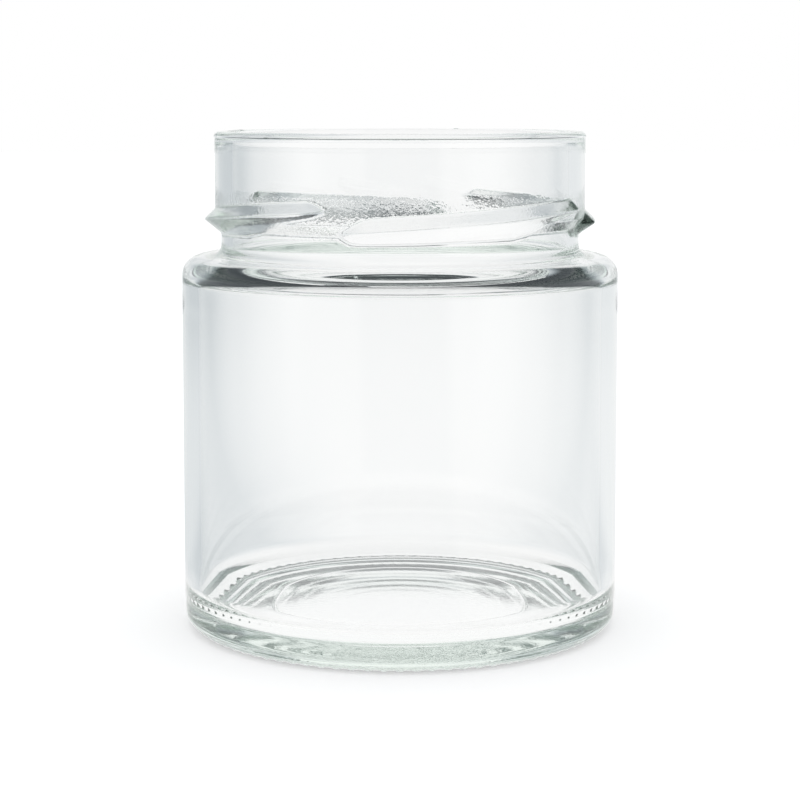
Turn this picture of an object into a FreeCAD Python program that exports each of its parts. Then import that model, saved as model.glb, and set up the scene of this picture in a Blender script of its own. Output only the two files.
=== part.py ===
import FreeCAD, Part
import math
import os

import Sketcher

# Empty food jar with a deep twist-off neck, one piece of clear glass.  It stands on the plane z = 0
# with its axis on Z.  A straight body rises from a rounded heel to a short square shoulder.  Above
# that is the neck: a waist that clears the lid's rolled edge, lugs that lie end to end round the
# neck and climb to the right, and a tall plain wall up to a rounded sealing rim.  Underneath, a
# domed push-up lies inside a bearing ring that is knurled with small radial pads.

# Driving sizes, in millimetres, degrees or plain counts.
DRIVING_SIZES = [
    ("overall_height", 82.5, "from the table to the sealing rim"),
    ("body_diameter", 72.5, "outside of the straight body"),
    ("body_wall", 2.7, "glass of the straight body"),
    # heel and base
    ("heel_radius", 2.6, "outer rounding between the body and the bearing ring"),
    ("seam_height", 4.9, "where the mould's bottom plate meets its body halves"),
    ("seam_step", 0.15, "how much smaller in radius the heel is below that seam"),
    ("seam_slope", 0.3, "height over which the seam steps out"),
    ("ring_width", 2.6, "flat of the bearing ring, inside the heel's rounding"),
    ("recess_slope", 1.6, "width of the slope from the ring into the recess"),
    ("recess_depth", 0.8, "depth of the recess at the foot of that slope, from the table"),
    ("push_up", 3.2, "depth of the recess in its middle, from the table"),
    ("plate_ring_radius", 21.0, "middle of the shallow ring pressed into the recess"),
    ("plate_ring_width", 1.0, "width of that ring"),
    ("plate_ring_depth", 0.3, "depth of that ring"),
    ("pad_count", 86, "pads round the bearing ring"),
    ("pad_height", 0.2, "how far the pads lift the ring off the table"),
    ("pad_length", 2.8, "radial length of a pad's foot"),
    ("pad_width", 0.6, "width of a pad's foot"),
    ("pad_reach", 0.7, "how far a pad's foot runs out past the ring's flat"),
    ("pad_slope", 45.0, "slope of a pad's sides, from the vertical"),
    # shoulder
    ("shoulder_step", 5.5, "how far the body stands out past the finish"),
    ("shoulder_fall", 0.25, "how much lower the shoulder lies at its outer edge"),
    ("shoulder_radius", 3.1, "outer rounding between the shoulder and the body"),
    # neck, with its heights measured down from the rim
    ("neck_height", 20.4, "down from the rim to the shoulder"),
    ("neck_wall", 2.9, "glass between the finish and the mouth"),
    ("neck_fillet", 1.2, "hollow rounding between the shoulder and the neck"),
    ("waist_inset", 1.0, "how much smaller in radius the waist is than the finish"),
    ("waist_drop", 15.8, "down to where the waist starts to widen"),
    ("finish_drop", 14.2, "down to where it has widened to the finish"),
    ("bead_step", 0.15, "how far the rim's bead stands out of the finish"),
    ("bead_height", 0.8, "height of that bead"),
    ("bead_slope", 0.3, "height over which the bead fades into the finish"),
    ("rim_outer_radius", 0.6, "rounding on the outside of the rim"),
    ("rim_inner_radius", 1.0, "rounding on the inside of the rim"),
    # inside
    ("shoulder_wall", 2.1, "glass under the shoulder, half way along the slope inside"),
    ("shoulder_draw", 2.0, "height over which the inside narrows to the mouth"),
    ("inner_neck_radius", 1.5, "inside rounding at the mouth's end of that slope"),
    ("inner_shoulder_radius", 2.6, "inside rounding at the body's end of it"),
    ("floor_height", 4.4, "inside floor beside its corner"),
    ("floor_corner", 4.0, "inside rounding between the floor and the wall"),
    ("floor_rim", 0.8, "flat of the floor between its corner and its dome"),
    ("floor_dome", 0.4, "how much the floor rises to its middle"),
    # lugs, with their heights measured down from the rim
    ("lug_count", 4, "lugs round the neck, end to end"),
    ("lug_first_angle", -20.0, "start of the first lug, anticlockwise from the front"),
    ("lug_span", 90.0, "angle that one lug covers"),
    ("lug_crest_drop", 15.4, "down to the crest where a lug starts"),
    ("lug_crest_rise", 3.3, "how much higher the crest is where the lug ends"),
    ("lug_foot_drop", 17.2, "down to the lower edge where a lug starts"),
    ("lug_foot_rise", 0.7, "how much higher that edge would be at the end if it ran straight on"),
    ("lug_top_gap", 2.1, "upper edge above the crest"),
    ("lug_reach", 1.85, "how far the crest stands out of the finish"),
    ("lug_nose", 0.55, "rounding of the crest"),
]
SIZES = {alias: value for alias, value, _ in DRIVING_SIZES}

# Shares that shape a lug's pointed ends: where each section stands along the lug, and how far the
# crest, the lower edge and the upper edge have swelled there.
LUG_SECTIONS = [
    (0.00, 0.05, 0.30, 0.14),
    (0.03, 0.34, 0.80, 0.42),
    (0.08, 0.80, 1.00, 0.82),
    (0.14, 1.00, 1.00, 1.00),
    (0.28, 1.00, 1.00, 1.00),
    (0.44, 1.00, 1.00, 1.00),
    (0.60, 1.00, 1.00, 1.00),
    (0.72, 1.00, 0.86, 1.00),
    (0.81, 1.00, 0.60, 1.00),
    (0.89, 0.92, 0.38, 1.00),
    (0.95, 0.62, 0.22, 0.78),
    (1.00, 0.05, 0.12, 0.35),
]
LUG_SINK = 0.25      # a lug's edges and its pointed ends lie this far inside the neck's glass
LUG_ROOT = 1.0       # a lug's root lies this far inside the waist
PAD_ROOT = 0.9       # a pad's root lies this far inside the bearing ring
CUT_SLACK = 1.0      # a cutting profile runs this far out of the glass


class Size:
    """A number together with the sheet expression that gives it."""

    def __init__(self, value, text=None):
        self.value = float(value)
        self.text = text or repr(float(value))

    @staticmethod
    def of(other):
        return other if isinstance(other, Size) else Size(other)

    def __add__(self, other):
        other = Size.of(other)
        return Size(self.value + other.value, f"({self.text} + {other.text})")

    def __sub__(self, other):
        other = Size.of(other)
        return Size(self.value - other.value, f"({self.text} - {other.text})")

    def __mul__(self, other):
        other = Size.of(other)
        return Size(self.value * other.value, f"({self.text} * {other.text})")

    def __truediv__(self, other):
        other = Size.of(other)
        return Size(self.value / other.value, f"({self.text} / {other.text})")

    def __rsub__(self, other):
        return Size.of(other) - self


def size(alias):
    return Size(SIZES[alias], f"sizes.{alias}")


def root_of(square):
    return Size(math.sqrt(square.value), f"sqrt({square.text})")


def held_between(size_given, low, high):
    value = min(max(size_given.value, low), high)
    return Size(value, f"min(max({size_given.text}; {low}); {high})")


def add_sheet(doc):
    sheet = doc.addObject("Spreadsheet::Sheet", "sizes")
    for row, (alias, value, note) in enumerate(DRIVING_SIZES, start=1):
        sheet.set(f"A{row}", str(value))
        sheet.setAlias(f"A{row}", alias)
        sheet.set(f"B{row}", note)
    doc.recompute()
    return sheet


def origin_feature(body, role):
    return next(f for f in body.Origin.OriginFeatures if f.Role == role)


def add_sketch(body, name, plane="XZ_Plane", turn=None):
    """A sketch on one of the body's own planes, if need be turned about the jar's axis."""
    sketch = body.newObject("Sketcher::SketchObject", name)
    sketch.AttachmentSupport = [(origin_feature(body, plane), "")]
    sketch.MapMode = "FlatFace"
    if turn is not None:
        about_axis = FreeCAD.Rotation(FreeCAD.Vector(0, 1, 0), 1.0)
        sketch.AttachmentOffset = FreeCAD.Placement(FreeCAD.Vector(), about_axis)
        sketch.setExpression("AttachmentOffset.Rotation.Angle", f"{turn.text} * 1deg")
    return sketch


class Corner:
    """A named corner of a profile: rounded if it has a radius, on the jar's axis if x is zero."""

    def __init__(self, name, x, y, radius=None, dome=False):
        self.name, self.radius = name, radius
        self.x, self.y = Size.of(x), Size.of(y)
        self.dome = dome     # the edge that leaves this corner is an arc centred on the axis
        self.point = FreeCAD.Vector(self.x.value, self.y.value, 0)


def draw_profile(sketch, corners):
    """Closes the corners into one fully constrained outline driven by the sheet."""
    named = []

    def constrain(*arguments, drive=None, label=None):
        index = sketch.addConstraint(Sketcher.Constraint(*arguments))
        if drive is not None:
            named.append((index, label, drive))
        return index

    def set_place(corner, geometry, end):
        if corner.x.value == 0:
            constrain("PointOnObject", geometry, end, -2)
        else:
            constrain("DistanceX", -1, 1, geometry, end, corner.x.value,
                      drive=corner.x, label=f"{corner.name}_across")
        constrain("DistanceY", -1, 1, geometry, end, corner.y.value,
                  drive=corner.y, label=f"{corner.name}_up")

    # where each corner's rounding starts and ends
    count = len(corners)
    spans = []
    for i, corner in enumerate(corners):
        if corner.radius is None:
            spans.append((corner.point, corner.point, None))
            continue
        back = (corners[i - 1].point - corner.point).normalize()
        ahead = (corners[(i + 1) % count].point - corner.point).normalize()
        half = back.getAngle(ahead) / 2
        reach = corner.radius.value / math.tan(half)
        middle = corner.point + (back + ahead).normalize() * (corner.radius.value / math.sin(half))
        spans.append((corner.point + back * reach, corner.point + ahead * reach, middle))

    edges = []           # (geometry, end that the outline enters by, end that it leaves by)
    for i, corner in enumerate(corners):
        start, finish = spans[i][1], spans[(i + 1) % count][0]
        if corner.dome:
            edges.append(add_dome(sketch, start, finish))
        else:
            edges.append((sketch.addGeometry(Part.LineSegment(start, finish), False), 1, 2))

    for i, corner in enumerate(corners):
        before, after = edges[i - 1], edges[i]
        if corner.radius is None:
            constrain("Coincident", before[0], before[2], after[0], after[1])
            set_place(corner, after[0], after[1])
            continue
        enter, leave, middle = spans[i]
        turns_left = (corner.point - enter).cross(leave - corner.point).z > 0
        first, last = (enter, leave) if turns_left else (leave, enter)
        circle = Part.Circle(middle, FreeCAD.Vector(0, 0, 1), corner.radius.value)
        angles = [math.atan2(p.y - middle.y, p.x - middle.x) for p in (first, last)]
        arc = sketch.addGeometry(Part.ArcOfCircle(circle, *angles), False)
        enter_end, leave_end = (1, 2) if turns_left else (2, 1)
        constrain("Tangent", before[0], before[2], arc, enter_end)
        constrain("Tangent", arc, leave_end, after[0], after[1])
        constrain("Radius", arc, corner.radius.value, drive=corner.radius,
                  label=f"{corner.name}_radius")
        mark = sketch.addGeometry(Part.Point(corner.point), True)
        constrain("PointOnObject", mark, 1, before[0])
        constrain("PointOnObject", mark, 1, after[0])
        set_place(corner, mark, 1)

    for index, label, drive in named:
        sketch.renameConstraint(index, label)
        sketch.setExpression(f"Constraints.{label}", drive.text)


def add_dome(sketch, start, finish):
    """An arc whose centre lies on the axis, so that it is level where it meets the axis."""
    outer, top = (start, finish) if finish.x == 0 else (finish, start)
    rise = top.y - outer.y
    radius = (outer.x ** 2 + rise ** 2) / (2 * rise)
    middle = FreeCAD.Vector(0, top.y - radius, 0)
    circle = Part.Circle(middle, FreeCAD.Vector(0, 0, 1), radius)
    low = math.atan2(outer.y - middle.y, outer.x)
    arc = sketch.addGeometry(Part.ArcOfCircle(circle, low, math.pi / 2), False)
    sketch.addConstraint(Sketcher.Constraint("PointOnObject", arc, 3, -2))
    return (arc, 1, 2) if finish.x == 0 else (arc, 2, 1)


def dome_height(outer_radius, outer_height, top_height, at_radius):
    """Height of such a dome at a radius inside it."""
    rise = top_height - outer_height
    radius = (outer_radius * outer_radius + rise * rise) / (rise * 2)
    return top_height - radius + root_of(radius * radius - at_radius * at_radius)


# Radii and heights that the parts of the jar share.
body = size("body_diameter") / 2
body_inside = body - size("body_wall")
heel = body - size("seam_step")
ring_outside = heel - size("heel_radius")
ring_inside = ring_outside - size("ring_width")
recess = ring_inside - size("recess_slope")
finish = body - size("shoulder_step")
waist = finish - size("waist_inset")
mouth = finish - size("neck_wall")
rim = size("overall_height")
shoulder = rim - size("neck_height")
inner_shoulder = shoulder - size("shoulder_wall")
half_draw = size("shoulder_draw") / 2
floor = size("floor_height")
floor_dome_radius = body_inside - size("floor_corner") - size("floor_rim")


def add_glass(jar):
    """The jar turned about its axis: outside, rim, inside and push-up in one profile."""
    bead = finish + size("bead_step")
    seam = size("seam_height")
    sketch = add_sketch(jar, "glass_profile")
    draw_profile(sketch, [
        Corner("push_up", 0, size("push_up"), dome=True),
        Corner("recess", recess, size("recess_depth")),
        Corner("ring_inside", ring_inside, size("pad_height")),
        Corner("heel", heel, size("pad_height"), size("heel_radius")),
        Corner("seam_under", heel, seam),
        Corner("seam_over", body, seam + size("seam_slope")),
        Corner("shoulder", body, shoulder - size("shoulder_fall"), size("shoulder_radius")),
        Corner("neck", waist, shoulder, size("neck_fillet")),
        Corner("waist", waist, rim - size("waist_drop")),
        Corner("finish", finish, rim - size("finish_drop")),
        Corner("bead_under", finish, rim - size("bead_height") - size("bead_slope")),
        Corner("bead_over", bead, rim - size("bead_height")),
        Corner("rim_outside", bead, rim, size("rim_outer_radius")),
        Corner("rim_inside", mouth, rim, size("rim_inner_radius")),
        Corner("mouth", mouth, inner_shoulder + half_draw, size("inner_neck_radius")),
        Corner("inner_shoulder", body_inside, inner_shoulder - half_draw,
               size("inner_shoulder_radius")),
        Corner("floor_corner", body_inside, floor, size("floor_corner")),
        Corner("floor_dome", floor_dome_radius, floor, dome=True),
        Corner("floor_middle", 0, floor + size("floor_dome")),
    ])
    glass = jar.newObject("PartDesign::Revolution", "glass")
    glass.Profile = sketch
    glass.ReferenceAxis = (sketch, ["V_Axis"])
    glass.Angle = 360
    return glass


def add_plate_ring(jar):
    """The shallow ring that the bottom plate leaves in the push-up."""
    middle, half = size("plate_ring_radius"), size("plate_ring_width") / 2
    top = dome_height(recess, size("recess_depth"), size("push_up"), middle)
    top = top + size("plate_ring_depth")
    sketch = add_sketch(jar, "plate_ring_profile")
    draw_profile(sketch, [
        Corner("foot_inside", middle - half, -CUT_SLACK),
        Corner("foot_outside", middle + half, -CUT_SLACK),
        Corner("top_outside", middle + half, top, half * 0.5),
        Corner("top_inside", middle - half, top, half * 0.5),
    ])
    groove = jar.newObject("PartDesign::Groove", "plate_ring")
    groove.Profile = sketch
    groove.ReferenceAxis = (sketch, ["V_Axis"])
    groove.Angle = 360
    return groove


def neck_radius(height):
    """Outside radius of the neck where it widens from the waist to the finish."""
    waist_top = rim - size("waist_drop")
    widened = (height - waist_top) / (rim - size("finish_drop") - waist_top)
    return waist + size("waist_inset") * held_between(widened, 0, 1)


def add_lugs(jar):
    """One lug lofted through sections on turned planes, then repeated round the neck."""
    sketches = []
    for number, (along, crest_share, foot_share, top_share) in enumerate(LUG_SECTIONS):
        turn = size("lug_first_angle") - 90 + size("lug_span") * along
        crest = rim - size("lug_crest_drop") + size("lug_crest_rise") * along
        foot = rim - size("lug_foot_drop") + size("lug_foot_rise") * along
        top = crest + size("lug_top_gap") * top_share
        low = crest - (crest - foot) * foot_share
        wall = neck_radius(crest) - LUG_SINK
        reach = wall + (finish + size("lug_reach") - wall) * crest_share
        root = waist - LUG_ROOT
        nose = size("lug_nose") * (0.2 + 0.8 * crest_share)
        sketch = add_sketch(jar, f"lug_section_{number}", turn=turn)
        draw_profile(sketch, [
            Corner("root_foot", root, low),
            Corner("foot", waist - LUG_SINK, low),
            Corner("crest_foot", reach, crest - nose * 0.5, nose * 0.6),
            Corner("crest_top", reach, crest + nose * 0.5, nose * 0.6),
            Corner("top", neck_radius(top) - LUG_SINK, top),
            Corner("root_top", root, top),
        ])
        sketches.append(sketch)
    lug = jar.newObject("PartDesign::AdditiveLoft", "lug")
    lug.Profile = sketches[0]
    lug.Sections = sketches[1:]
    lug.Ruled = False
    return repeat_about_axis(jar, lug, "lugs", "lug_count")


def add_knurl(jar):
    """One pad under the bearing ring, then repeated round the ring."""
    half = size("pad_width") / 2
    outer = ring_outside + size("pad_reach")
    inner = outer - size("pad_length")
    sketch = add_sketch(jar, "pad_foot", plane="XY_Plane")
    draw_profile(sketch, [
        Corner("left_outer", 0 - half, 0 - outer),
        Corner("right_outer", half, 0 - outer),
        Corner("right_inner", half, 0 - inner),
        Corner("left_inner", 0 - half, 0 - inner),
    ])
    pad = jar.newObject("PartDesign::Pad", "pad")
    pad.Profile = sketch
    pad.setExpression("Length", (size("pad_height") + PAD_ROOT).text)
    pad.setExpression("TaperAngle", size("pad_slope").text)
    return repeat_about_axis(jar, pad, "knurl", "pad_count")


def repeat_about_axis(jar, feature, name, count_alias):
    jar.Document.recompute()
    pattern = jar.newObject("PartDesign::PolarPattern", name)
    pattern.Originals = [feature]
    pattern.Axis = (origin_feature(jar, "Z_Axis"), [""])
    pattern.Angle = 360
    pattern.setExpression("Occurrences", size(count_alias).text)
    jar.Tip = pattern
    return pattern


def check_document(doc):
    failed = [o.Label for o in doc.Objects if "Invalid" in o.State or "Error" in o.State]
    if failed:
        raise RuntimeError("not built: " + ", ".join(failed))


def expect_change(jar, before, grows, what):
    """Compares the volume across a feature, because one that misses the glass raises nothing."""
    after = jar.Shape.Volume
    if (after > before + 1e-3) != grows or abs(after - before) <= 1e-3:
        raise RuntimeError(f"{what} changed the volume from {before:.1f} to {after:.1f}")
    print(f"{what}: {after - before:+.1f} mm3")
    return after


def main():
    doc = FreeCAD.newDocument("jar")
    add_sheet(doc)
    jar = doc.addObject("PartDesign::Body", "jar")
    jar.Label = "jar"
    volume = 0.0
    for build, grows, what in [
        (add_glass, True, "turned glass"),
        (add_plate_ring, False, "plate ring"),
        (add_lugs, True, "lugs"),
        (add_knurl, True, "knurl"),
    ]:
        build(jar)
        doc.recompute()
        check_document(doc)
        volume = expect_change(jar, volume, grows, what)
    jar.Placement = FreeCAD.Placement(FreeCAD.Vector(0, 0, 0), FreeCAD.Rotation())

    shape = jar.Shape
    if shape.isNull() or not shape.isValid() or len(shape.Solids) != 1:
        raise RuntimeError("the jar isn't one valid solid")
    box = shape.BoundBox
    print(f"jar {box.XLength:.2f} x {box.YLength:.2f} x {box.ZLength:.2f} mm, "
          f"from z {box.ZMin:.3f}, {volume / 1000:.2f} cm3, {len(shape.Faces)} faces")
    os.makedirs("parts", exist_ok=True)
    shape.exportStep(f"parts/{jar.Label}.step")


main()
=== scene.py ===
import math

import bmesh
import bpy
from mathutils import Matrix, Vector


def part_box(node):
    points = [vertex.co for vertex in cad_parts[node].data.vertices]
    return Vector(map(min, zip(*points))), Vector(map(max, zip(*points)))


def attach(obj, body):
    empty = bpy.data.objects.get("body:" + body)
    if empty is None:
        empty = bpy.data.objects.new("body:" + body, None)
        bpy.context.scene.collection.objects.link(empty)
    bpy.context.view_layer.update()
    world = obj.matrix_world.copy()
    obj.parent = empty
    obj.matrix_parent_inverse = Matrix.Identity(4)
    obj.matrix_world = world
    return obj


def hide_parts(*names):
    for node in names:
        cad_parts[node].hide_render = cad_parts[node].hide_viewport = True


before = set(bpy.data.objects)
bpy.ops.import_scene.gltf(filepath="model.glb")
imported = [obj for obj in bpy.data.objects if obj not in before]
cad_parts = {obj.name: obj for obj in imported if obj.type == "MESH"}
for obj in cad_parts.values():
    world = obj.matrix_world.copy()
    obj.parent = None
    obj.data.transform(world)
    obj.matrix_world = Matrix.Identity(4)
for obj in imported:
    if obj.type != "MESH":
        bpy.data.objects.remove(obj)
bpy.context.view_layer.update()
print("frame loaded")

mm = 0.001
jarLow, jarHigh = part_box("jar")
rimHeight = jarHigh[2]                       # heights and radii start from the CAD node's own box
bodyRadius = jarHigh[0]


# node helpers

def fillInputs(tree, node, values):
    for socket, value in values.items():
        if isinstance(value, bpy.types.NodeSocket):
            tree.links.new(value, node.inputs[socket])
        elif value is not None:
            node.inputs[socket].default_value = value
    return node


def addNode(tree, kind, inputs=None, **settings):
    node = tree.nodes.new(kind)
    for name, value in settings.items():
        setattr(node, name, value)
    return fillInputs(tree, node, inputs or {})


def calc(tree, operation, *values):
    node = addNode(tree, "ShaderNodeMath", operation=operation)
    return fillInputs(tree, node, dict(enumerate(values))).outputs[0]


def ramp(tree, value, start, end, low=0.0, high=1.0, kind="SMOOTHSTEP"):
    node = addNode(tree, "ShaderNodeMapRange", interpolation_type=kind)
    fillInputs(tree, node, {"Value": value, "From Min": start, "From Max": end,
                            "To Min": low, "To Max": high})
    return node.outputs["Result"]


def mixValues(tree, share, low, high):
    return addNode(tree, "ShaderNodeMix", {0: share, 2: low, 3: high}).outputs[0]


def radiusFrom(tree, axes):                  # distance from the jar's axis
    return calc(tree, "SQRT", calc(tree, "ADD", calc(tree, "MULTIPLY", axes[0], axes[0]),
                                   calc(tree, "MULTIPLY", axes[1], axes[1])))


def emptyTree(owner):
    owner.use_nodes = True
    owner.node_tree.nodes.clear()
    return owner.node_tree


# the turned glass: one closed skin, outside, rim, inside and push-up

glassSizes = {                               # millimetres
    "bodyWall": 2.7,
    "heelRadius": 2.6, "seamHeight": 4.9, "seamStep": 0.15, "seamSlope": 0.3,
    "ringWidth": 2.6, "ringLift": 0.15, "recessSlope": 1.6, "recessDepth": 0.8, "pushUp": 3.2,
    "plateRing": 21.0, "plateRingWidth": 1.0, "plateRingDepth": 0.08,
    "shoulderStep": 5.5, "shoulderFall": 0.25, "shoulderRadius": 3.1,
    "neckHeight": 20.4, "neckWall": 2.9, "neckFillet": 1.9, "waistInset": 1.0,
    "waistDrop": 15.8, "finishDrop": 14.2,
    "beadStep": 0.15, "beadHeight": 0.8, "beadSlope": 0.3, "rimOuter": 1.0, "rimInner": 1.4,
    "shoulderWall": 2.1, "shoulderDraw": 2.0, "innerShoulder": 2.6, "innerNeck": 1.5,
    "floorHeight": 4.4, "floorCorner": 4.0, "floorRim": 0.8, "floorDome": 0.4,
    "plainWallDrop": 9.4, "mouthFineDrop": 4.0, "mouthCoarseDrop": 7.0,   # where the steps change
    "coarseStep": 4.0, "fineStep": 0.4, "lugStep": 0.2,                   # longest step on an edge
    "skinSplit": 0.9,                        # how far into the neck's wall outside meets inside
    "stepsAround": 584, "arcStep": 9.0,      # steps round the jar, degrees along a rounding
    "domeSteps": 14, "poleRings": 4,         # rings on a dome, and those at its middle
}
glassPlain = ("stepsAround", "arcStep", "domeSteps", "poleRings")
glass = {name: value if name in glassPlain else value * mm
         for name, value in glassSizes.items()}
finishRadius = bodyRadius - glass["shoulderStep"]
waistRadius = finishRadius - glass["waistInset"]
mouthRadius = finishRadius - glass["neckWall"]
ringOutside = bodyRadius - glass["seamStep"] - glass["heelRadius"]
ringInside = ringOutside - glass["ringWidth"]
wallMiddle = mouthRadius + glass["skinSplit"]


def domePoints(edge, top, ring=None):        # from the dome's edge inwards, its middle left out
    count = glass["domeSteps"]
    rise = top - edge[1]
    radius = (edge[0] ** 2 + rise ** 2) / (2 * rise)
    places = [edge[0] * (1 - i / count) for i in range(count)]
    middle, half, depth = ring or (0, 0, 0)
    if ring:                                 # a shallow groove: more points where it turns
        clearance, steps = 1.3, 4
        places = [r for r in places if abs(r - middle) > half * clearance]
        places += [middle + half * (1 - k / steps) for k in range(2 * steps + 1)]
    points = []
    for r in sorted(places, reverse=True):
        sunk = depth * (0.5 + 0.5 * math.cos(math.pi * (r - middle) / half)) if (
            ring and abs(r - middle) < half) else 0
        points.append((r, top - radius + math.sqrt(radius ** 2 - r ** 2) + sunk))
    return points


# each corner is (r, z, rounding, longest step on the edge after it)
def roundedPath(corners):
    points = []
    places = [Vector(corner[:2]) for corner in corners]
    for i, (r, z, rounding, step) in enumerate(corners):
        here = places[i]
        if rounding:
            back = (places[i - 1] - here).normalized()
            ahead = (places[i + 1] - here).normalized()
            half = back.angle(ahead) / 2
            middle = here + (back + ahead).normalized() * (rounding / math.sin(half))
            first = here + back * (rounding / math.tan(half)) - middle
            last = here + ahead * (rounding / math.tan(half)) - middle
            turn = first.angle_signed(last)
            count = max(3, round(abs(math.degrees(turn)) / glass["arcStep"]))
            for k in range(count + 1):
                angle = -turn * k / count
                spin = Vector((first.x * math.cos(angle) - first.y * math.sin(angle),
                               first.x * math.sin(angle) + first.y * math.cos(angle)))
                points.append(tuple(middle + spin))
        else:
            points.append((r, z))
        if i + 1 < len(corners):
            nextCorner = places[i + 1]
            nextRounding = corners[i + 1][2]
            end = nextCorner
            if nextRounding:
                toHere = (here - nextCorner).normalized()
                toNext = (places[i + 2] - nextCorner).normalized()
                end = nextCorner + toHere * (nextRounding / math.tan(toHere.angle(toNext) / 2))
            start = Vector(points[-1])
            count = max(1, math.ceil((end - start).length / step))
            points += [tuple(start.lerp(end, k / count)) for k in range(1, count)]
    return points


def turnedOutline():
    g = glass
    heel = bodyRadius - g["seamStep"]
    inside = bodyRadius - g["bodyWall"]
    bead = finishRadius + g["beadStep"]
    shoulder = rimHeight - g["neckHeight"]
    innerShoulder = shoulder - g["shoulderWall"]
    half = g["shoulderDraw"] / 2
    recess = ringInside - g["recessSlope"]
    coarse, fine, lugStep = g["coarseStep"], g["fineStep"], g["lugStep"]
    domeEdge = inside - g["floorCorner"] - g["floorRim"]
    floorTop = g["floorHeight"] + g["floorDome"]
    under = list(reversed(domePoints((recess, g["recessDepth"]), g["pushUp"], (
        g["plateRing"], g["plateRingWidth"] / 2, g["plateRingDepth"]))))
    outside = roundedPath([
        (recess, g["recessDepth"], 0, fine),
        (ringInside, g["ringLift"], 0, fine),
        (heel, g["ringLift"], g["heelRadius"], fine),
        (heel, g["seamHeight"], 0, fine),
        (bodyRadius, g["seamHeight"] + g["seamSlope"], 0, coarse * 2),
        (bodyRadius, shoulder - g["shoulderFall"], g["shoulderRadius"], fine * 2),
        (waistRadius, shoulder, g["neckFillet"], fine),
        (waistRadius, rimHeight - g["waistDrop"], 0, lugStep),
        (finishRadius, rimHeight - g["finishDrop"], 0, lugStep),
        (finishRadius, rimHeight - g["plainWallDrop"], 0, coarse),
        (finishRadius, rimHeight - g["beadHeight"] - g["beadSlope"], 0, fine),
        (bead, rimHeight - g["beadHeight"], 0, fine),
        (bead, rimHeight, g["rimOuter"], fine),
        (mouthRadius, rimHeight, g["rimInner"], coarse),
        (mouthRadius, rimHeight - g["mouthFineDrop"], 0, coarse),
    ])
    innerSide = roundedPath([
        (mouthRadius, rimHeight - g["mouthCoarseDrop"], 0, coarse),
        (mouthRadius, innerShoulder + half, g["innerNeck"], coarse),
        (inside, innerShoulder - half, g["innerShoulder"], coarse),
        (inside, g["floorHeight"], g["floorCorner"], coarse),
        (domeEdge, g["floorHeight"], 0, coarse),
    ])
    floor = domePoints((domeEdge, g["floorHeight"]), floorTop)[1:]
    return under, outside, innerSide, floor, g["pushUp"], floorTop


def turnMesh(name):
    under, outside, innerSide, floor, pushUp, floorTop = turnedOutline()
    full, near = glass["stepsAround"], glass["poleRings"]
    rings = [(r, z, full // 4) for r, z in under[:near]]
    rings += [(r, z, full // 2) for r, z in under[near:-1]]
    rings += [(r, z, full) for r, z in outside]
    rings += [(r, z, full // 2) for r, z in innerSide + floor[:-near]]
    rings += [(r, z, full // 4) for r, z in floor[-near:]]
    skin = bmesh.new()
    loops = []
    for r, z, count in rings:
        turns = [2 * math.pi * k / count for k in range(count)]
        loops.append([skin.verts.new((r * math.sin(a), -r * math.cos(a), z)) for a in turns])
    for low, high in zip(loops, loops[1:]):
        stitch(skin, low, high)
    for loop, height in ((loops[0], pushUp), (loops[-1], floorTop)):
        pole = skin.verts.new((0, 0, height))
        for k, vert in enumerate(loop):
            skin.faces.new((pole, vert, loop[(k + 1) % len(loop)]))
    bmesh.ops.recalc_face_normals(skin, faces=skin.faces)
    for face in skin.faces:
        face.smooth = True
    mesh = bpy.data.meshes.new(name)
    skin.to_mesh(mesh)
    skin.free()
    piece = bpy.data.objects.new(name, mesh)
    bpy.context.scene.collection.objects.link(piece)
    return piece


# quads between like rings, or three triangles a step where one ring is twice as fine
def stitch(skin, low, high):
    if len(low) == len(high):
        for k in range(len(low)):
            n = (k + 1) % len(low)
            skin.faces.new((low[k], low[n], high[n], high[k]))
        return
    few, many = (low, high) if len(low) < len(high) else (high, low)
    for k in range(len(few)):
        n = (k + 1) % len(few)
        a, b, c = many[2 * k], many[2 * k + 1], many[(2 * k + 2) % len(many)]
        skin.faces.new((few[k], a, b))
        skin.faces.new((few[k], b, few[n]))
        skin.faces.new((few[n], b, c))


# the relief that follows a rule: lugs round the neck, pads under the ring

reliefSizes = {                              # millimetres, plain counts and turns in degrees
    "Lug Count": 4, "Lug Start": -20.0,
    "Crest Drop": 15.4, "Crest Rise": 3.3, "Foot Drop": 17.2, "Foot Rise": 0.7,
    "Top Gap": 2.1, "Lug Reach": 1.85, "Lug Nose": 0.9, "Lug Blend": 0.3, "Lug Sink": 0.25,
    "Pad Count": 86, "Pad Width": 0.6, "Pad Length": 1.1, "Pad Reach": 0.7, "Pad Slope": 1.0,
    "Pad Blend": 0.12,
    "Wave Depth": 0.02, "Wave Scale": 90.0,
}
reliefPlain = ("Lug Count", "Lug Start", "Pad Count", "Pad Slope", "Wave Scale")
lugShares = {                                # where each part grows or fades along a lug, in shares
    "crestGrows": (-0.01, 0.13), "crestFades": (1.0, 0.9),
    "topGrows": (-0.02, 0.14), "topFades": (1.02, 0.9, 0.3, 1.0),
    "footGrows": (-0.02, 0.06), "footFades": (1.0, 0.62, 0.12, 1.0),
}
padCeiling, padMargin = 2.4 * mm, 2 * mm     # the pads move only the skin this low and near
axisGuard = 0.01 * mm                        # keeps the middle points from a division by nothing


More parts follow.
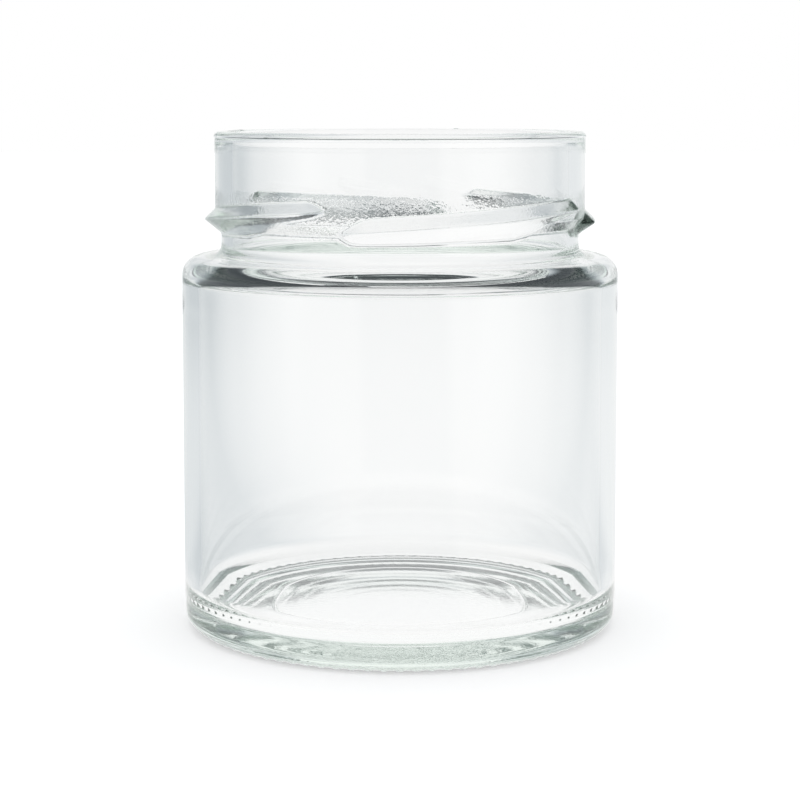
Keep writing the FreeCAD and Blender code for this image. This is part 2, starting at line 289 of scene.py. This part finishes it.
def buildReliefTree(material):
    tree = bpy.data.node_groups.new("jarRelief", "GeometryNodeTree")
    sockets = tree.interface
    sockets.new_socket("Geometry", in_out="INPUT", socket_type="NodeSocketGeometry")
    for name in (*reliefSizes, "Rim Height", "Finish Radius", "Waist Radius", "Finish Bottom",
                 "Waist Top", "Wall Middle", "Ring Outside"):
        sockets.new_socket(name, in_out="INPUT", socket_type="NodeSocketFloat")
    sockets.new_socket("Geometry", in_out="OUTPUT", socket_type="NodeSocketGeometry")
    given = addNode(tree, "NodeGroupInput").outputs

    def do(operation, *values):
        return calc(tree, operation, *[given[v] if isinstance(v, str) else v for v in values])

    place = addNode(tree, "ShaderNodeSeparateXYZ",
                    {0: addNode(tree, "GeometryNodeInputPosition").outputs[0]}).outputs
    x, y, z = place[0], place[1], place[2]
    radius = radiusFrom(tree, place)
    turn = do("DEGREES", do("ARCTAN2", x, do("MULTIPLY", y, -1.0)))

    # lugs: a crest that climbs, with an upper and a lower flank
    along = do("FRACT", do("DIVIDE", do("MULTIPLY", do("SUBTRACT", turn, "Lug Start"),
                                        "Lug Count"), 360.0))
    crestSwell = do("MULTIPLY", ramp(tree, along, *lugShares["crestGrows"]),
                    ramp(tree, along, *lugShares["crestFades"]))
    topSwell = do("MULTIPLY", ramp(tree, along, *lugShares["topGrows"]),
                  ramp(tree, along, *lugShares["topFades"]))
    footSwell = do("MULTIPLY", ramp(tree, along, *lugShares["footGrows"]),
                   ramp(tree, along, *lugShares["footFades"], "LINEAR"))
    crestHeight = do("ADD", do("SUBTRACT", "Rim Height", "Crest Drop"),
                     do("MULTIPLY", "Crest Rise", along))
    footHeight = do("ADD", do("SUBTRACT", "Rim Height", "Foot Drop"),
                    do("MULTIPLY", "Foot Rise", along))
    topGap = do("MULTIPLY", "Top Gap", topSwell)
    footGap = do("MULTIPLY", do("SUBTRACT", crestHeight, footHeight), footSwell)
    lowerWall = do("SUBTRACT", "Waist Radius", "Lug Sink")
    crestWall, upperWall = [do("SUBTRACT", ramp(
        tree, height, given["Waist Top"], given["Finish Bottom"],
        given["Waist Radius"], given["Finish Radius"], "LINEAR"), "Lug Sink")
        for height in (crestHeight, do("ADD", crestHeight, topGap))]
    fullReach = do("SUBTRACT", do("ADD", "Finish Radius", "Lug Reach"), crestWall)
    crestRadius = do("MULTIPLY_ADD", fullReach, crestSwell, crestWall)
    upperSlope = do("DIVIDE", do("MAXIMUM", do("SUBTRACT", crestRadius, upperWall), 0.0), topGap)
    lowerSlope = do("DIVIDE", do("SUBTRACT", crestRadius, lowerWall), footGap)
    above = do("SUBTRACT", z, crestHeight)
    upperFlank = do("SUBTRACT", crestRadius, do("MULTIPLY", above, upperSlope))
    lowerFlank = do("ADD", crestRadius, do("MULTIPLY", above, lowerSlope))
    lugRadius = do("SMOOTH_MIN", upperFlank, lowerFlank, "Lug Nose")
    lugged = do("SMOOTH_MAX", radius, lugRadius, "Lug Blend")
    outside = do("GREATER_THAN", radius, "Wall Middle")
    newRadius = do("ADD", radius, do("MULTIPLY", outside, do("SUBTRACT", lugged, radius)))

    # pads: small flat feet whose sides slope up into the bearing ring
    cell = do("ABSOLUTE", do("SUBTRACT", do("FRACT", do("ADD", do("DIVIDE", do(
        "MULTIPLY", turn, "Pad Count"), 360.0), 0.5)), 0.5))
    aside = do("DIVIDE", do("MULTIPLY", do("MULTIPLY", cell, radius), 2 * math.pi), "Pad Count")
    padOuter = do("ADD", "Ring Outside", "Pad Reach")
    padInner = do("SUBTRACT", padOuter, "Pad Length")
    beyond = do("MAXIMUM", do("SUBTRACT", aside, do("DIVIDE", "Pad Width", 2.0)),
                do("MAXIMUM", do("SUBTRACT", radius, padOuter), do("SUBTRACT", padInner, radius)))
    padHeight = do("DIVIDE", do("MAXIMUM", beyond, 0.0), "Pad Slope")
    padded = do("MAXIMUM", do("SMOOTH_MIN", z, padHeight, "Pad Blend"), 0.0)
    lowDown = do("LESS_THAN", z, padCeiling)
    onRing = do("GREATER_THAN", radius, do("SUBTRACT", padInner, padMargin))
    newHeight = do("ADD", z, do("MULTIPLY", do("MULTIPLY", lowDown, onRing),
                                do("SUBTRACT", padded, z)))

    # the blown inside is never quite true
    noise = addNode(tree, "ShaderNodeTexNoise", {"Scale": given["Wave Scale"], "Detail": 1.0})
    wave = do("MULTIPLY", do("SUBTRACT", noise.outputs[0], 0.5), do("MULTIPLY", "Wave Depth", 2.0))
    inner = do("SUBTRACT", 1.0, outside)
    newRadius = do("ADD", newRadius, do("MULTIPLY", wave, inner))

    scale = do("DIVIDE", newRadius, do("MAXIMUM", radius, axisGuard))
    moved = addNode(tree, "ShaderNodeCombineXYZ", {
        0: do("MULTIPLY", x, scale), 1: do("MULTIPLY", y, scale), 2: newHeight}).outputs[0]
    shaped = addNode(tree, "GeometryNodeSetPosition",
                     {"Geometry": given["Geometry"], "Position": moved}).outputs[0]
    real = addNode(tree, "GeometryNodeRealizeInstances", {0: shaped}).outputs[0]
    done = addNode(tree, "GeometryNodeSetMaterial",
                   {"Geometry": real, "Material": material}).outputs[0]
    addNode(tree, "NodeGroupOutput", {0: done})
    return tree


def applyRelief(piece, material):
    tree = buildReliefTree(material)
    values = {name: value if name in reliefPlain else value * mm
              for name, value in reliefSizes.items()}
    values.update({
        "Rim Height": rimHeight, "Finish Radius": finishRadius, "Waist Radius": waistRadius,
        "Finish Bottom": rimHeight - glass["finishDrop"],
        "Waist Top": rimHeight - glass["waistDrop"],
        "Wall Middle": wallMiddle, "Ring Outside": ringOutside})
    modifier = piece.modifiers.new("relief", "NODES")
    modifier.node_group = tree
    for item in tree.interface.items_tree:
        if item.in_out == "INPUT" and item.name in values:
            modifier[item.identifier] = float(values[item.name])
    bpy.context.view_layer.update()
    seen = piece.evaluated_get(bpy.context.evaluated_depsgraph_get())
    mesh = bpy.data.meshes.new_from_object(seen)
    piece.modifiers.remove(modifier)
    piece.data = mesh
    mesh.name = piece.name
    return piece


# finishes

glassLook = {
    "ior": 1.52, "roughness": 0.0,
    "absorbColour": (0.68, 0.88, 0.74, 1.0), "absorbDensity": 5.5,     # per metre
    "peelScale": 2000.0, "peelHeight": 0.05 * mm,    # a fine unevenness where it is moulded
    "peelPlain": 0.0, "peelMoulded": 0.8, "peelFoot": 0.3, "peelBase": 0.25,
    "neckTopDrops": (9, 11), "neckFootDrops": (16.6, 15.6),            # millimetres below the rim
    "footHeights": (4.5, 2.5), "baseHeights": (4.3, 4.2), "baseRadii": (27, 25),     # millimetres
}


def makeGlass():
    material = bpy.data.materials.new("clearGlass")
    tree = emptyTree(material)
    place = addNode(tree, "ShaderNodeTexCoord").outputs["Object"]
    axes = addNode(tree, "ShaderNodeSeparateXYZ", {0: place}).outputs
    peel = addNode(tree, "ShaderNodeTexNoise", {
        "Vector": place, "Scale": glassLook["peelScale"], "Detail": 2.0})
    radius = radiusFrom(tree, axes)
    neckTop = [rimHeight - drop * mm for drop in glassLook["neckTopDrops"]]
    neckFoot = [rimHeight - drop * mm for drop in glassLook["neckFootDrops"]]
    footHeights, baseHeights, baseRadii = [[size * mm for size in glassLook[name]] for name in (
        "footHeights", "baseHeights", "baseRadii")]
    outside = calc(tree, "GREATER_THAN", radius, wallMiddle)
    neck = calc(tree, "MULTIPLY", ramp(tree, axes[2], *neckTop), ramp(tree, axes[2], *neckFoot))
    foot = ramp(tree, axes[2], *footHeights, 0.0, glassLook["peelFoot"])
    moulded = calc(tree, "MULTIPLY", outside, calc(tree, "MAXIMUM", neck, foot))
    middle = calc(tree, "MULTIPLY", ramp(tree, axes[2], *baseHeights),
                  ramp(tree, radius, *baseRadii, 0.0, glassLook["peelBase"]))
    moulded = calc(tree, "MAXIMUM", moulded, middle)
    height = calc(tree, "MULTIPLY", peel.outputs[0],
                  ramp(tree, moulded, 0.0, 1.0, glassLook["peelPlain"], glassLook["peelMoulded"],
                       "LINEAR"))
    bump = addNode(tree, "ShaderNodeBump", {
        "Strength": 1.0, "Distance": glassLook["peelHeight"], "Height": height})
    shader = addNode(tree, "ShaderNodeBsdfPrincipled", {
        "Base Color": (1, 1, 1, 1), "Metallic": 0.0, "Transmission Weight": 1.0,
        "IOR": glassLook["ior"], "Roughness": glassLook["roughness"],
        "Normal": bump.outputs[0]})
    depth = addNode(tree, "ShaderNodeVolumeAbsorption", {
        "Color": glassLook["absorbColour"], "Density": glassLook["absorbDensity"]})
    addNode(tree, "ShaderNodeOutputMaterial", {
        "Surface": shader.outputs[0], "Volume": depth.outputs[0]})
    return material


clearGlass = makeGlass()
jarGlass = applyRelief(turnMesh("jarGlass"), clearGlass)
print("jar glass:", len(jarGlass.data.vertices), "points,",
      sum(len(p.vertices) - 2 for p in jarGlass.data.polygons), "triangles")
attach(jarGlass, "root")
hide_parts("jar")


# floor, light and camera

studio = {
    "floorColour": (0.8, 0.8, 0.8, 1.0), "floorGlow": 0.45, "floorSize": 6.0,
    "floorDrop": 0.05 * mm,                  # the floor lies this far under the jar
    "worldLight": 0.9,                       # what lights the floor, the same all round
    "backLevel": 1.0, "wingLeft": 0.64, "wingRight": 0.82, "sideLeft": 0.42, "sideRight": 0.58,
    "frontLeft": 0.72, "frontRight": 0.9, "frontMiddle": 0.5, "highLevel": 0.05,
    # nearFloor: the floor's painted level near the jar as the glass shows it, full white over its
    # real shadow
    "nearFloor": 1.0, "nearShare": 0.6, "dimColour": (0.82, 0.98, 1.08, 1.0),
    "cameraPlace": (0.0, -0.3505, 0.08803), "cameraPitch": 5.615, "lens": 94.6,
    "sensorWidth": 36.0, "clipStart": 0.01, "shift": -0.12,
    "lightBounces": 48,                      # light runs a long way inside the base
}
roomEdges = {                                # by direction: x right, y back, z up
    "rightHalf": (-0.3, 0.3), "gapLeft": (-0.85, -0.7), "gapRight": (0.5, 0.36),
    "frontStarts": (0.0, -0.35), "wingStarts": (0.45, 0.62), "backStarts": (0.92, 0.995),
    "highStarts": (0.12, 0.34), "backTop": (0.6, 0.75),
    "aboveHeight": (0.12, 0.22), "aboveDepth": (0.2, 0.5), "aboveWidth": (0.5, 0.3),
    "floorNear": (0.045, 0.07), "floorFar": (0.2, 0.6),                # metres from the jar's axis
}


# how bright the room is in each direction, as the glass shows it
def roomLevel(tree, x, y, z=0.0):
    edges = roomEdges
    right = ramp(tree, x, *edges["rightHalf"])
    side = ramp(tree, right, 0.0, 1.0, studio["sideLeft"], studio["sideRight"], "LINEAR")
    front = ramp(tree, right, 0.0, 1.0, studio["frontLeft"], studio["frontRight"], "LINEAR")
    gap = calc(tree, "MULTIPLY", ramp(tree, x, *edges["gapLeft"]),
               ramp(tree, x, *edges["gapRight"]))
    front = mixValues(tree, gap, front, studio["frontMiddle"])
    wing = ramp(tree, right, 0.0, 1.0, studio["wingLeft"], studio["wingRight"], "LINEAR")
    level = mixValues(tree, ramp(tree, y, *edges["frontStarts"]), side, front)
    level = mixValues(tree, ramp(tree, y, *edges["wingStarts"]), level, wing)
    level = mixValues(tree, ramp(tree, z, *edges["highStarts"]), level, studio["highLevel"])
    back = mixValues(tree, ramp(tree, z, *edges["backTop"]), studio["backLevel"],
                     studio["highLevel"])
    above = calc(tree, "MULTIPLY", ramp(tree, z, *edges["aboveHeight"]),
                 ramp(tree, y, *edges["aboveDepth"]))
    aside = calc(tree, "ABSOLUTE", x)
    above = calc(tree, "MULTIPLY", above, ramp(tree, aside, *edges["aboveWidth"]))
    share = calc(tree, "MAXIMUM", above, ramp(tree, y, *edges["backStarts"], kind="LINEAR"))
    return mixValues(tree, share, level, back)


def raysInGlass(tree, rays):
    return calc(tree, "MAXIMUM", rays["Is Glossy Ray"], rays["Is Transmission Ray"])


def dimLevelTint(tree, level):                 # a dim level is slightly cool, in the world's light and in the floor's painted reflection
    return addNode(tree, "ShaderNodeMix", {
        0: level, 6: studio["dimColour"], 7: (1, 1, 1, 1)}, data_type="RGBA").outputs[2]


def makeFloor():
    half = studio["floorSize"] / 2
    mesh = bpy.data.meshes.new("floor")
    mesh.from_pydata([(-half, -half, 0), (half, -half, 0), (half, half, 0), (-half, half, 0)],
                     [], [(0, 1, 2, 3)])
    floor = bpy.data.objects.new("floor", mesh)
    bpy.context.scene.collection.objects.link(floor)
    floor.location.z = -studio["floorDrop"]
    material = bpy.data.materials.new("paleFloor")
    tree = emptyTree(material)
    matt = addNode(tree, "ShaderNodeBsdfDiffuse", {"Color": studio["floorColour"]})
    rays = addNode(tree, "ShaderNodeLightPath").outputs
    glow = addNode(tree, "ShaderNodeEmission", {
        "Color": (1, 1, 1, 1),
        "Strength": calc(tree, "MULTIPLY", rays["Is Camera Ray"], studio["floorGlow"])})
    lit = addNode(tree, "ShaderNodeAddShader", {0: matt.outputs[0], 1: glow.outputs[0]})
    # seen in the glass, the floor is painted light: full white near the jar, over its real shadow,
    # and farther out a painted reflection of the room's levels, dark sides included
    place = addNode(tree, "ShaderNodeTexCoord").outputs["Object"]
    away = addNode(tree, "ShaderNodeVectorMath", {0: place}, operation="LENGTH").outputs["Value"]
    way = addNode(tree, "ShaderNodeVectorMath", {0: place}, operation="NORMALIZE").outputs[0]
    way = addNode(tree, "ShaderNodeSeparateXYZ", {0: way}).outputs
    share = calc(tree, "ADD", ramp(tree, away, *roomEdges["floorNear"], 0.0, studio["nearShare"]),
                 ramp(tree, away, *roomEdges["floorFar"], 0.0, 1.0 - studio["nearShare"]))
    level = mixValues(tree, share, studio["nearFloor"], roomLevel(tree, way[0], way[1]))
    # the floor's painted glow, shown only to glossy and transmission rays
    paintedReflection = addNode(tree, "ShaderNodeEmission", {
        "Color": dimLevelTint(tree, level), "Strength": level})
    seen = raysInGlass(tree, rays)
    both = addNode(tree, "ShaderNodeMixShader", {0: seen, 1: lit.outputs[0], 2: paintedReflection.outputs[0]})
    addNode(tree, "ShaderNodeOutputMaterial", {"Surface": both.outputs[0]})
    mesh.materials.append(material)


def makeWorld():
    world = bpy.data.worlds.new("studio")
    bpy.context.scene.world = world
    tree = emptyTree(world)
    way = addNode(tree, "ShaderNodeSeparateXYZ",
                  {0: addNode(tree, "ShaderNodeTexCoord").outputs["Generated"]}).outputs
    rays = addNode(tree, "ShaderNodeLightPath").outputs
    level = roomLevel(tree, way[0], way[1], way[2])
    seen = raysInGlass(tree, rays)
    strength = mixValues(tree, seen, studio["worldLight"], level)
    strength = calc(tree, "MAXIMUM", strength, rays["Is Camera Ray"])
    sky = addNode(tree, "ShaderNodeBackground", {
        "Color": dimLevelTint(tree, strength), "Strength": strength})
    addNode(tree, "ShaderNodeOutputWorld", {"Surface": sky.outputs[0]})


def makeCamera():
    data = bpy.data.cameras.new("camera")
    data.lens = studio["lens"]
    data.sensor_width = studio["sensorWidth"]
    data.shift_y = studio["shift"]
    data.clip_start = studio["clipStart"]
    camera = bpy.data.objects.new("camera", data)
    camera.location = studio["cameraPlace"]
    camera.rotation_euler = (math.radians(90 - studio["cameraPitch"]), 0, 0)
    bpy.context.scene.collection.objects.link(camera)
    bpy.context.scene.camera = camera


makeFloor()
makeWorld()
makeCamera()
bpy.context.scene.view_settings.view_transform = "Standard"
for limit in ("max_bounces", "glossy_bounces", "transmission_bounces"):
    setattr(bpy.context.scene.cycles, limit, studio["lightBounces"])
print("studio ready")
